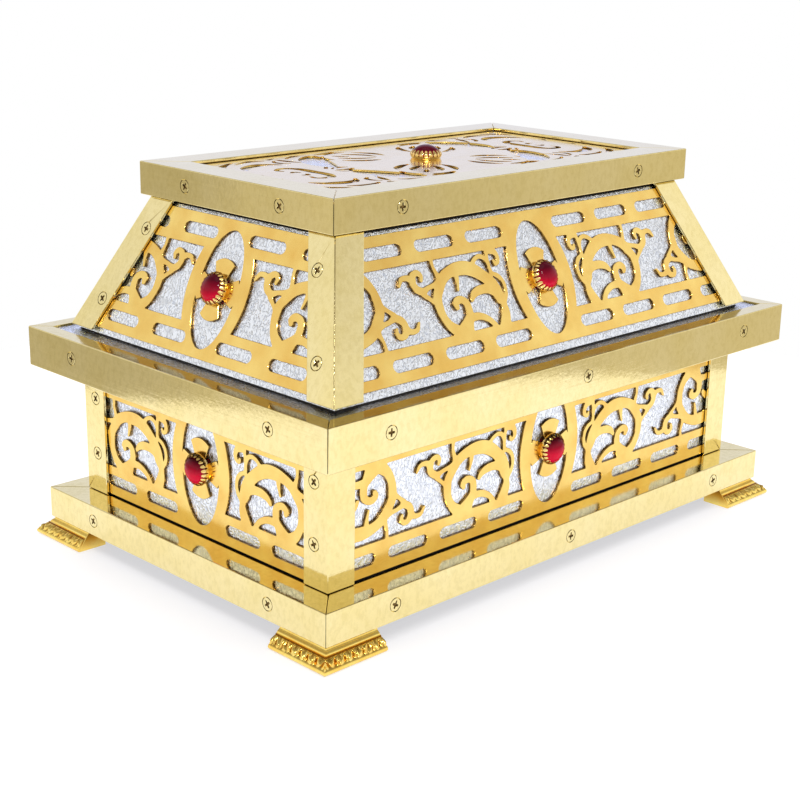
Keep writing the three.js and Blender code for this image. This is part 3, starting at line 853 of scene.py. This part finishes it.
def crown_mesh(name):
    """A shallow cup whose rim is cut into leaf-shaped teeth folded over the stone."""
    bm = bmesh.new()
    cup = []
    for column in range(CROWN_TEETH * TOOTH_COLUMNS):
        angle = column / TOOTH_COLUMNS * 2 * math.pi / CROWN_TEETH
        cup.append([
            bm.verts.new(crown_point(CUP_SHARE * row / CUP_ROWS, angle))
            for row in range(CUP_ROWS + 1)
        ])
    for i, column in enumerate(cup):
        after = cup[(i + 1) % len(cup)]
        for row in range(CUP_ROWS):
            bm.faces.new((column[row], after[row], after[row + 1], column[row + 1]))
    rim = [column[-1] for column in cup]
    for tooth in range(CROWN_TEETH):
        first = tooth * TOOTH_COLUMNS
        add_tooth(bm, tooth, rim[first + 1 : first + TOOTH_COLUMNS])
    bmesh.ops.recalc_face_normals(bm, faces=bm.faces)
    bmesh.ops.solidify(bm, geom=bm.faces[:], thickness=CROWN_THICKNESS)
    bmesh.ops.scale(bm, vec=(MM, MM, MM), verts=bm.verts)
    bmesh.ops.recalc_face_normals(bm, faces=bm.faces)
    mesh = mesh_of(bm, name)
    finish_shading(mesh, 50)
    return mesh


def add_tooth(bm, tooth, below):
    """One tongue growing from a stretch of the cup's rim, narrowing to a round tip."""
    pitch = 2 * math.pi / CROWN_TEETH
    middle = (tooth + 0.5) * pitch
    offsets = np.linspace(-1, 1, len(below))
    for row in range(1, TOOTH_ROWS + 1):
        part = row / TOOTH_ROWS
        half = (TOOTH_HALF * math.sqrt(max(0.0, 1 - part**3.2)) + TIP_HALF) * pitch
        height = CUP_SHARE + (1 - CUP_SHARE) * part
        above = []
        for offset in offsets:
            lift = TOOTH_CROWNING * (1 - offset**2) * math.sin(math.pi * min(part, 0.9))
            above.append(bm.verts.new(crown_point(height, middle + offset * half, lift)))
        for i in range(len(below) - 1):
            bm.faces.new((below[i], below[i + 1], above[i + 1], above[i]))
        below = above


def add_stone(name, place):
    """A stone in its crown, standing on a sheet's face."""
    crown = new_object(f"setting_{name}", crown_mesh(name), "gilt_crown", crown_gilt)
    crown.data.transform(place)
    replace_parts(crown, f"crown_{name}")
    stone_mesh = lathe_mesh(name, stone_profile(), 56)
    stone = new_object(f"stone_{name}", stone_mesh, "red_stone", red_stone)
    stone.data.transform(place)
    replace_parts(stone, f"cabochon_{name}")


# ---------------------------------------------------------------- angle strip and its screws


def rounded_copy(node):
    """The CAD node's shape with its sharp edges eased, to stand in its place."""
    bm = bmesh.new()
    bm.from_mesh(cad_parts[node].data)
    bmesh.ops.remove_doubles(bm, verts=bm.verts, dist=1e-6)
    flat = math.radians(1)
    bmesh.ops.dissolve_limit(bm, angle_limit=flat, verts=bm.verts, edges=bm.edges)
    sharp = [edge for edge in bm.edges if edge.calc_face_angle(0) > math.radians(20)]
    offset = EDGE_ROUNDING * MM
    bmesh.ops.bevel(bm, geom=sharp, offset=offset, segments=3, profile=0.5, affect="EDGES")
    return mesh_of(bm, node)


def screw_points(node):
    """Roughly where a strip's screws are, as world points in millimetres."""
    family = node.split("_")[0]
    low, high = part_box(node)
    middle = (low + high) / 2 / MM
    if "_rail_" in node:
        height, along_x, along_y = RAIL_SCREWS[family]
        if node.endswith(("front", "back")):
            return [Vector((x, middle.y, height)) for x in along_x]
        return [Vector((middle.x, y, height)) for y in along_y]
    heights, inset = POST_SCREWS[family]
    inwards = -math.copysign(inset, middle.y)
    return [Vector((middle.x, corner_line(node, z) + inwards, z)) for z in heights]


def corner_line(node, height):
    """The y of a post's outer corner edge at a height, in millimetres."""
    low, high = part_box(node)
    points = [vertex.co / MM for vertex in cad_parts[node].data.vertices]
    outer = max(abs(point.y) for point in points)
    inner = max(abs(point.y) for point in points if point.z > high.z / MM - 0.01)
    part = (height * MM - low.z) / (high.z - low.z)
    return math.copysign(outer + (inner - outer) * part, low.y)


def outer_face(node, sideways):
    """A point and the outward normal of a strip's outer face on its X or Y side."""
    low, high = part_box(node)
    outward = low[sideways] + high[sideways]
    faces = [
        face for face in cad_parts[node].data.polygons
        if abs(face.normal[sideways]) > 0.8 and face.normal[sideways] * outward > 0
    ]
    face = max(faces, key=lambda face: abs(face.center[sideways]) + 0.001 * face.area)
    return face.center.copy(), face.normal.copy()


def screw_places(node):
    """A matrix for each screw of a strip, with z out of its face."""
    sideways = 1 if node.endswith(("front", "back")) and "_rail_" in node else 0
    centre, normal = outer_face(node, sideways)
    turn = upright_rotation(normal).to_4x4()
    places = []
    for point in screw_points(node):
        place = point * MM
        place[sideways] += (centre - place).dot(normal) / normal[sideways]
        places.append(Matrix.Translation(place) @ turn)
    return places


def countersunk(mesh, places):
    """The strip with a round seat cut for each screw."""
    radius = COUNTERSINK_RADIUS * MM
    seats = bmesh.new()
    for place in places:
        bmesh.ops.create_cone(
            seats, cap_ends=True, segments=48, radius1=radius, radius2=radius,
            depth=2 * COUNTERSINK_DEPTH * MM, matrix=place,
        )
    cutter = bpy.data.objects.new("seats", mesh_of(seats, "seats"))
    blank = bpy.data.objects.new("blank", mesh)
    for thing in (cutter, blank):
        bpy.context.scene.collection.objects.link(thing)
    cut = blank.modifiers.new("seats", "BOOLEAN")
    cut.object = cutter
    cut.solver = "EXACT"
    graph = bpy.context.evaluated_depsgraph_get()
    result = bpy.data.meshes.new_from_object(blank.evaluated_get(graph))
    for thing in (cutter, blank):
        bpy.data.objects.remove(thing)
    finish_shading(result, 12)
    return result


def screw_mesh():
    """A countersunk head with a cross slot cut through it, its rim chamfered."""
    reach = SCREW_RADIUS + 0.3
    grid = Grid((-reach, -reach), (reach, reach), SCREW_CELL)
    across = np.minimum(np.abs(grid.U), np.abs(grid.V))
    along = np.maximum(np.abs(grid.U), np.abs(grid.V))
    half = CROSS_SLOT_HALF + CROSS_SLOT_TAPER * (1 - along / CROSS_SLOT_REACH)
    slot = np.maximum(across - half, along - CROSS_SLOT_REACH)
    head = np.maximum(np.hypot(grid.U, grid.V) - SCREW_RADIUS, -slot)
    return sheet_mesh("screw_head", grid, head, SCREW_THICKNESS)


def add_screws(places):
    """The heads as one piece and the floors of their slots, dark as painted shade, as another."""
    low, high = SLOT_FLOOR_HEIGHTS
    profile = [(0, low), (SLOT_FLOOR_RADIUS, low), (SLOT_FLOOR_RADIUS, high), (0, high)]
    add_copies("brass_screws", screw_mesh(), places, brass, screw_slot_painted_shade)
    add_copies("screw_slots", lathe_mesh("screw_floor", profile, 32), places, screw_slot_painted_shade)


def add_copies(name, part, places, *materials):
    """One piece holding a copy of part at each place, each turned its own way."""
    bm = bmesh.new()
    lift = Matrix.Translation((0, 0, SCREW_PROUD * MM))
    for number, place in enumerate(places):
        copy = part.copy()
        copy.transform(place @ lift @ Matrix.Rotation(number * SCREW_TURN, 4, "Z"))
        bm.from_mesh(copy)
    mesh = mesh_of(bm, name)
    finish_shading(mesh, 30)
    new_object(name, mesh, "brass", *materials)


def add_angle_strip():
    nodes = sorted(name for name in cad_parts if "_rail_" in name or "_post_" in name)
    all_places = []
    for node in nodes:
        places = screw_places(node)
        mesh = countersunk(rounded_copy(node), places)
        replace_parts(new_object(f"{node}_strip", mesh, "brass", brass), node)
        all_places += places
    add_screws(all_places)


add_angle_strip()

# ---------------------------------------------------------------- walls


def add_walls():
    for storey in ("case", "roof"):
        for side in SIDES:
            node = f"{storey}_fretwork_{side}"
            kind = "long" if side in ("front", "back") else f"{storey}_end"
            place, top, half_at = face_place(node)
            mesh = sheet_mesh(node, *wall_sheet(kind, top, half_at))
            sheet = new_object(f"{node}_sheet", mesh, "gilt_sheet", gilt, cut_walls_painted_shade)
            sheet.data.transform(place)
            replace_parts(sheet, node)
            add_stone(f"{storey}_{side}", place)


add_walls()

# ---------------------------------------------------------------- feet


def foot_point(station, out, height):
    """A point of the moulding, from the frame's corner, and how deep in a recess it lies, which the
    material paints as shade.

    The station runs from 0 at one arm's end past the mitre at 1 to 2 at the other's end."""
    along = FOOT_ARM * (1 - abs(station - 1)) + out * min(station, 2 - station)
    relief = leaf_relief(abs(FOOT_ARM - along), height)
    x = y = out + relief
    if station <= 1:
        x -= (FOOT_ARM + x) * (1 - station)
    else:
        y -= (FOOT_ARM + y) * (station - 1)
    in_groove = any(bottom < height < top for bottom, top in FOOT_GROOVES)
    return (x, y, height), 1.0 if in_groove else max(0.0, min(-relief * 1.2, 0.7))


def foot_mesh(node):
    """The section swept along one side, round the corner at a mitre and along the other side."""
    low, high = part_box(node)
    sign_x = 1 if low.x > 0 else -1
    sign_y = 1 if low.y > 0 else -1
    corner_x = max(abs(low.x), abs(high.x)) / MM - FOOT_OVERHANG
    corner_y = max(abs(low.y), abs(high.y)) / MM - FOOT_OVERHANG
    section = refined(FOOT_SECTION, FOOT_SECTION_STEP)
    steps = np.linspace(0, 1, FOOT_STEPS)
    stations = np.concatenate([steps, 1 + steps[1:]])
    vertices, faces, recesses = [], [], []
    for station in stations:
        for out, height in section:
            (x, y, z), recess = foot_point(station, out, height)
            vertices.append((sign_x * (corner_x + x), sign_y * (corner_y + y), z))
            recesses.append(recess)
    count = len(section)
    for i in range(len(stations) - 1):
        here, there = i * count, (i + 1) * count
        for j in range(count):
            after = (j + 1) % count
            faces.append((here + j, here + after, there + after, there + j))
    last = (len(stations) - 1) * count
    faces += [tuple(range(count)), tuple(range(last + count - 1, last - 1, -1))]
    if sign_x * sign_y > 0:
        faces = [tuple(reversed(face)) for face in faces]
    mesh = mesh_from(node, vertices, faces, 40)
    bm = bmesh.new()
    bm.from_mesh(mesh)
    bmesh.ops.recalc_face_normals(bm, faces=bm.faces)
    bm.to_mesh(mesh)
    bm.free()
    mesh.attributes.new("recess", "FLOAT", "POINT").data.foreach_set("value", recesses)
    finish_shading(mesh, 40)
    return mesh


def refined(points, step):
    """The same closed section with its spans cut to about one step, save its long flat ones."""
    result = []
    for i, (x0, y0) in enumerate(points):
        x1, y1 = points[(i + 1) % len(points)]
        length = math.hypot(x1 - x0, y1 - y0)
        pieces = 1 if length > 10 else max(1, round(length / step))
        for k in range(pieces):
            result.append((x0 + (x1 - x0) * k / pieces, y0 + (y1 - y0) * k / pieces))
    return result


def leaf_relief(distance, height):
    """How far the leaf band stands out at a distance from the corner and a height."""
    if not LEAF_BAND[0] < height < LEAF_BAND[1]:
        return 0.0
    part = (height - LEAF_BAND[0]) / (LEAF_BAND[1] - LEAF_BAND[0])
    lobe = math.cos(2 * math.pi * (distance / LEAF_PITCH + 0.3 * part))
    wander = math.sin(distance / 5.3) + math.sin(distance / 3.1 + 2)
    frill = math.cos(2 * math.pi * (distance / FRILL_PITCH - 0.6 * part) + 1.4 * lobe + wander)
    return LEAF_RELIEF * math.sin(math.pi * part) ** 0.6 * (0.4 * lobe + 0.6 * frill)


def add_feet():
    for corner in CORNERS:
        node = f"foot_{corner}"
        foot = new_object(f"{node}_casting", foot_mesh(node), "cast_gilt", foot_gilt)
        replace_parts(foot, node)


add_feet()

# ---------------------------------------------------------------- linings and boards

for lining in ("case_silver", "roof_silver", "eave_silver", "top_silver"):
    wear_material(lining, silver)
for carcass in ("case_boards", "roof_boards"):
    wear_material(carcass, board)

# ---------------------------------------------------------------- the top sheet


# Openings in one quarter of the top sheet, as strokes of [x, y, width] from its centre.
TOP_OPENINGS = {
    "moon": [
        (70.8, 9.3, 6), (69.8, 17.2, 14), (67.0, 27.0, 18.5), (62.4, 36.2, 19),
        (56.8, 44.2, 14), (52.8, 49.0, 6),
    ],
    "ring_curl": [(65.8, 3.0, 2.4), (69.0, 4.4, 3.8), (73.6, 4.2, 3.6), (77.5, 2.4, 1.8)],
    "ring_drop": [(76.0, 9.6, 2.2), (78.5, 7.2, 2.4), (80.5, 4.4, 1.4)],
    "moon_leaf": [(29.5, 55.2, 2.0), (35.5, 53.2, 5.4), (41.5, 52.0, 5.6), (47.0, 52.6, 2.0)],
    "outer_leaf": [(57.5, 55.6, 1.8), (62.5, 55.6, 3.6), (68.0, 53.8, 3.2), (73.0, 50.2, 1.6)],
    "bud_side": [(28.0, 12.6, 1.6), (35.5, 14.4, 4.8), (43.5, 18.8, 4.8), (48.4, 24.0, 1.8)],
    "bud_tip": [(51.8, 29.6, 1.6), (53.2, 35.6, 4.4), (51.4, 41.4, 4.2), (47.6, 44.6, 1.6)],
    "bud_flank": [(12.4, 25.5, 1.6), (12.8, 32.5, 4.4), (15.6, 40.0, 4.8), (20.4, 46.0, 1.8)],
    "bud_edge": [(25.6, 49.6, 1.8), (31.6, 51.4, 4.4), (37.8, 50.8, 3.8), (42.4, 48.4, 1.6)],
    "bud_leaf": [(24.5, 21.0, 1.4), (31.0, 23.0, 3.8), (38.5, 27.2, 4.6), (43.5, 33.0, 2.4)],
    "bud_petal": [(20.5, 24.5, 1.4), (21.8, 31.5, 3.8), (26.0, 38.5, 4.6), (31.5, 43.0, 2.4)],
    "bud_drop": [(35.0, 35.2, 2.6), (38.6, 38.6, 4.0), (41.6, 41.4, 1.8)],
    "bracket": [
        (94.0, -2.0, 6.6), (93.6, 7.0, 6.6), (94.6, 14.5, 6.0), (98.6, 20.2, 5.0),
        (104.0, 20.8, 4.0), (108.4, 17.0, 3.0), (107.6, 12.4, 1.8),
    ],
    "bracket_drop": [(102.5, 3.2, 1.8), (104.5, 6.4, 3.4), (107.2, 5.2, 2.0)],
    "crescent": [
        (122.5, 28.5, 2.2), (117.5, 35.2, 6.4), (109.5, 39.4, 8.2), (101.5, 40.4, 7.4),
        (95.6, 37.8, 4.4), (91.8, 33.2, 2.0),
    ],
    "arc": [(113.0, 50.2, 1.8), (105.0, 53.6, 4.0), (97.0, 54.4, 4.6), (90.4, 51.6, 2.0)],
    "twig": [(83.6, 34.5, 1.8), (87.4, 38.0, 3.4), (88.0, 43.4, 3.0), (85.0, 47.8, 1.6)],
    "leaf": [(80.6, 50.6, 1.8), (79.4, 43.8, 4.2), (77.6, 37.5, 2.8), (75.4, 33.2, 1.4)],
    "bit": [(84.5, 53.8, 2.8), (79.0, 55.6, 1.4)],
    "corner": [(128.0, 42.0, 1.8), (124.5, 48.5, 5.0), (117.5, 53.6, 3.6), (111.5, 56.4, 1.6)],
    "end_bit": [(126.5, 8.5, 1.4), (128.6, 12.5, 2.4), (128.2, 17.2, 1.2)],
}


def add_top_sheet():
    low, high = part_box("top_fretwork")
    half = (high.x / MM, high.y / MM)
    grid = Grid((-half[0] - 1, -half[1] - 1), (0, half[1] + 1))
    outline = np.maximum(-grid.U - half[0], np.abs(grid.V) - half[1])
    strokes = [
        [(-x, y * side, width) for x, y, width in line]
        for line in TOP_OPENINGS.values() for side in (1, -1)
    ]
    metal = np.maximum(outline, -strokes_field(grid, strokes, TOP_FILLET))
    mesh = sheet_mesh("top_fretwork", *mirrored_field(grid, metal))
    sheet = new_object("top_fretwork_sheet", mesh, "gilt_sheet", top_gilt_painted_sheen, gilt)
    place = Matrix.Translation((0, 0, high.z))
    sheet.data.transform(place)
    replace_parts(sheet, "top_fretwork")
    add_stone("top", place)


add_top_sheet()

# ---------------------------------------------------------------- stage, light and camera


def add_floor():
    """A white disc that gives a little light of its own, so that the chest's shadow stays faint."""
    low, high = -FLOOR_THICKNESS, 0
    profile = [(0, low), (FLOOR_RADIUS, low), (FLOOR_RADIUS, high), (0, high)]
    floor = bpy.data.objects.new("floor", lathe_mesh("floor", profile, 96))
    bpy.context.scene.collection.objects.link(floor)
    floor.data.materials.append(material_nodes("white_floor").shaded(
        Roughness=0.6,
        Base_Color=(0.38, 0.38, 0.39, 1),
        Emission_Color=(1.0, 1.0, 1.03, 1),
        Emission_Strength=0.6,
    ))


# The world's colour from straight down (0) to straight up (1).
WORLD_STOPS = [
    (0.0, (0.80, 0.78, 0.74)),
    (0.33, (0.68, 0.63, 0.53)),
    (0.48, (0.65, 0.60, 0.49)),
    (0.56, (1.06, 1.05, 1.03)),
    (0.68, (1.00, 0.99, 0.98)),
    (0.78, (0.48, 0.44, 0.38)),
    (0.958, (0.32, 0.29, 0.24)),
    (0.976, (0.94, 0.92, 0.87)),
]
LIGHTER_SIDE = (-0.707, 0.707, 0)
BACK_GLOW_DIRECTION = (0.66, 0.66, 0.36)  # the pale backdrop that the level tops mirror
BACK_GLOW = (0.83, 0.87, 1.10, 1)
WHITE = (1, 1, 1, 1)


def add_world():
    """A soft light straight above, white all round, warmer and duller below, cool behind.

    Soft upright streaks run through it, and the camera sees plain white."""
    world = bpy.data.worlds.new("studio")
    bpy.context.scene.world = world
    n = Nodes(world, "Generated")
    layers = n.ramp(n.height_of(n.place), WORLD_STOPS)
    level = n.mapped(n.along(LIGHTER_SIDE), (-1, 1), (0.98, 1.0))
    streaks = n.noise(1, 3, vector=n.scaled(7, 7, 1.2))
    grey = n.mapped(streaks, (0.35, 0.60), (0.78, 1.08))
    sides = n.add("ShaderNodeMath", {0: level, 1: grey}, operation="MULTIPLY").outputs["Value"]
    lit = n.mix("MULTIPLY", layers, sides, 1)
    glow = n.mapped(n.along(BACK_GLOW_DIRECTION), (0.70, 0.93), (0, 1), "SMOOTHSTEP")
    room = n.mix("MIX", lit, BACK_GLOW, glow)
    seen = n.add("ShaderNodeLightPath").outputs["Is Camera Ray"]
    n.fill(n.tree.nodes["Background"], {"Color": n.mix("MIX", room, WHITE, seen)})


def add_lamp(name, place, size, power, mirrored=True, lights=True):
    """A square lamp aimed at the chest. It may be left out of reflections or of plain light."""
    light = bpy.data.lights.new(name, "AREA")
    light.shape = "RECTANGLE"
    light.size = light.size_y = size
    light.energy = power
    lamp = bpy.data.objects.new(name, light)
    bpy.context.scene.collection.objects.link(lamp)
    lamp.location = place
    lamp.visible_glossy = mirrored
    lamp.visible_diffuse = lights
    lamp.rotation_euler = (Vector((0, 0, 0.1)) - lamp.location).to_track_quat("-Z", "Y").to_euler()


def add_camera():
    """The photograph's view: over the near corner, both faces seen at about 45 degrees."""
    data = bpy.data.cameras.new("camera")
    data.sensor_width = 36
    data.lens = CAMERA_LENS
    data.clip_start = 0.01
    camera = bpy.data.objects.new("camera", data)
    bpy.context.scene.collection.objects.link(camera)
    forward = Vector((
        math.cos(CAMERA_PITCH) * math.sin(CAMERA_YAW),
        math.cos(CAMERA_PITCH) * math.cos(CAMERA_YAW),
        math.sin(CAMERA_PITCH),
    ))
    right = forward.cross(Vector((0, 0, 1))).normalized()
    up = right.cross(forward)
    turned_right = right * math.cos(CAMERA_ROLL) + up * math.sin(CAMERA_ROLL)
    turned_up = up * math.cos(CAMERA_ROLL) - right * math.sin(CAMERA_ROLL)
    rotation = Matrix((turned_right, turned_up, -forward)).transposed()
    place = Matrix.Translation(Vector(CAMERA_PLACE) * MM)
    camera.matrix_world = place @ rotation.to_4x4()
    bpy.context.scene.camera = camera


add_floor()
add_world()
add_lamp("key", (-0.9, -1.3, 1.6), 0.5, 8)
add_lamp("glint", (-1.0, -1.0, 1.6), 0.15, 6, lights=False)
add_lamp("fill", (1.3, -0.7, 1.2), 1.0, 4, mirrored=False)
add_lamp("overhead", (0.0, 0.0, 2.2), 3.0, 62, mirrored=False)
add_camera()
bpy.context.scene.view_settings.view_transform = "Standard"
